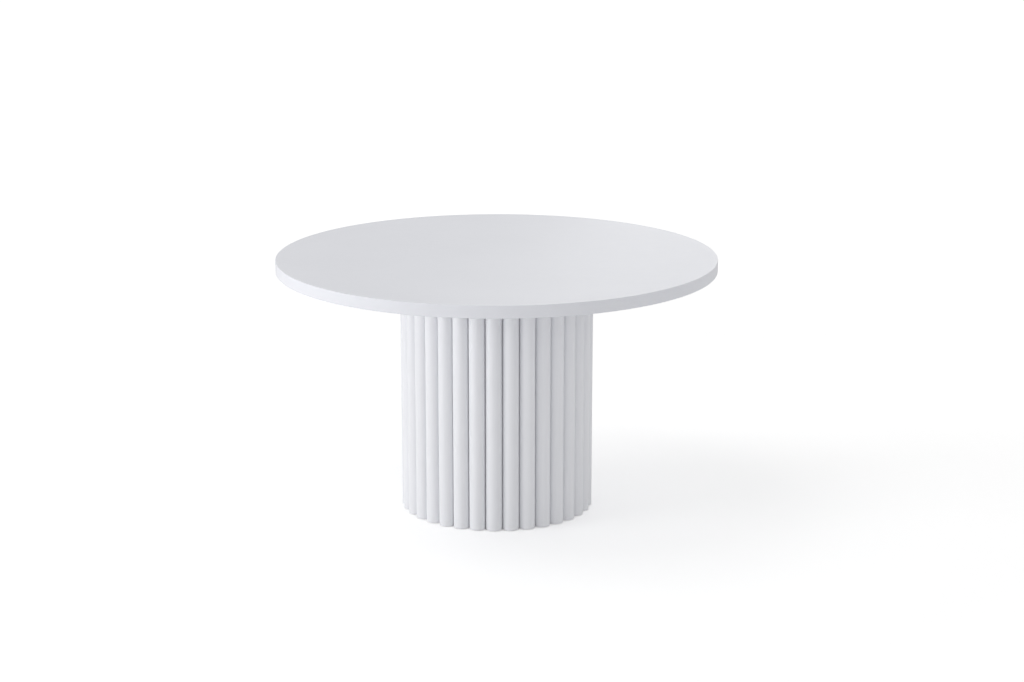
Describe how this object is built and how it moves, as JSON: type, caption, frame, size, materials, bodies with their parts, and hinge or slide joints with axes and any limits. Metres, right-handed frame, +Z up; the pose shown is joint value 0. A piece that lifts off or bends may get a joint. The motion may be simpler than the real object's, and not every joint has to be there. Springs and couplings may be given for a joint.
{
  "type": "round pedestal table",
  "caption": "Round pedestal dining table: a plain disc top on a drum clad all round with upright half-round slats.",
  "frame": {"origin": "on the floor, under the middle of the round top", "axes": "+Z up along the axis of the top and the drum; -Y to the front, through the middle of a slat; the two seams of the drum's shells face +X and -X"},
  "size_m": [1.2998, 1.3, 0.76],
  "materials": {
    "top_lacquer": "MDF under smooth satin white lacquer",
    "slat_lacquer": "moulded wood under satin white lacquer",
    "bending_plywood": "raw bending plywood, grain upright",
    "mdf": "raw MDF board",
    "softwood": "planed softwood",
    "zinc_steel": "bright zinc plating",
    "screw_steel": "yellow zinc plating",
    "insert_brass": "plain brass",
    "felt": "pressed wool felt"
  },
  "bodies": {
    "root": {"base_ring": "mdf", "base_screws": "screw_steel", "felt_pads": "felt", "front_shell": "bending_plywood", "middle_ring": "mdf", "plate_screws": "screw_steel", "post_1": "softwood", "post_2": "softwood", "post_3": "softwood", "post_4": "softwood", "post_5": "softwood", "post_6": "softwood", "rear_shell": "bending_plywood", "ring_screws": "screw_steel", "shell_screws": "screw_steel", "slat_01": "slat_lacquer", "slat_02": "slat_lacquer", "slat_03": "slat_lacquer", "slat_04": "slat_lacquer", "slat_05": "slat_lacquer", "slat_06": "slat_lacquer", "slat_07": "slat_lacquer", "slat_08": "slat_lacquer", "slat_09": "slat_lacquer", "slat_10": "slat_lacquer", "slat_11": "slat_lacquer", "slat_12": "slat_lacquer", "slat_13": "slat_lacquer", "slat_14": "slat_lacquer", "slat_15": "slat_lacquer", "slat_16": "slat_lacquer", "slat_17": "slat_lacquer", "slat_18": "slat_lacquer", "slat_19": "slat_lacquer", "slat_20": "slat_lacquer", "slat_21": "slat_lacquer", "slat_22": "slat_lacquer", "slat_23": "slat_lacquer", "slat_24": "slat_lacquer", "slat_25": "slat_lacquer", "slat_26": "slat_lacquer", "slat_27": "slat_lacquer", "slat_28": "slat_lacquer", "slat_29": "slat_lacquer", "slat_30": "slat_lacquer", "slat_31": "slat_lacquer", "slat_32": "slat_lacquer", "slat_33": "slat_lacquer", "slat_34": "slat_lacquer", "slat_screws": "screw_steel", "tabletop": "top_lacquer", "threaded_inserts": "insert_brass", "top_bolts": "zinc_steel", "top_plate": "mdf", "washers": "zinc_steel"}
  },
  "joints": []
}
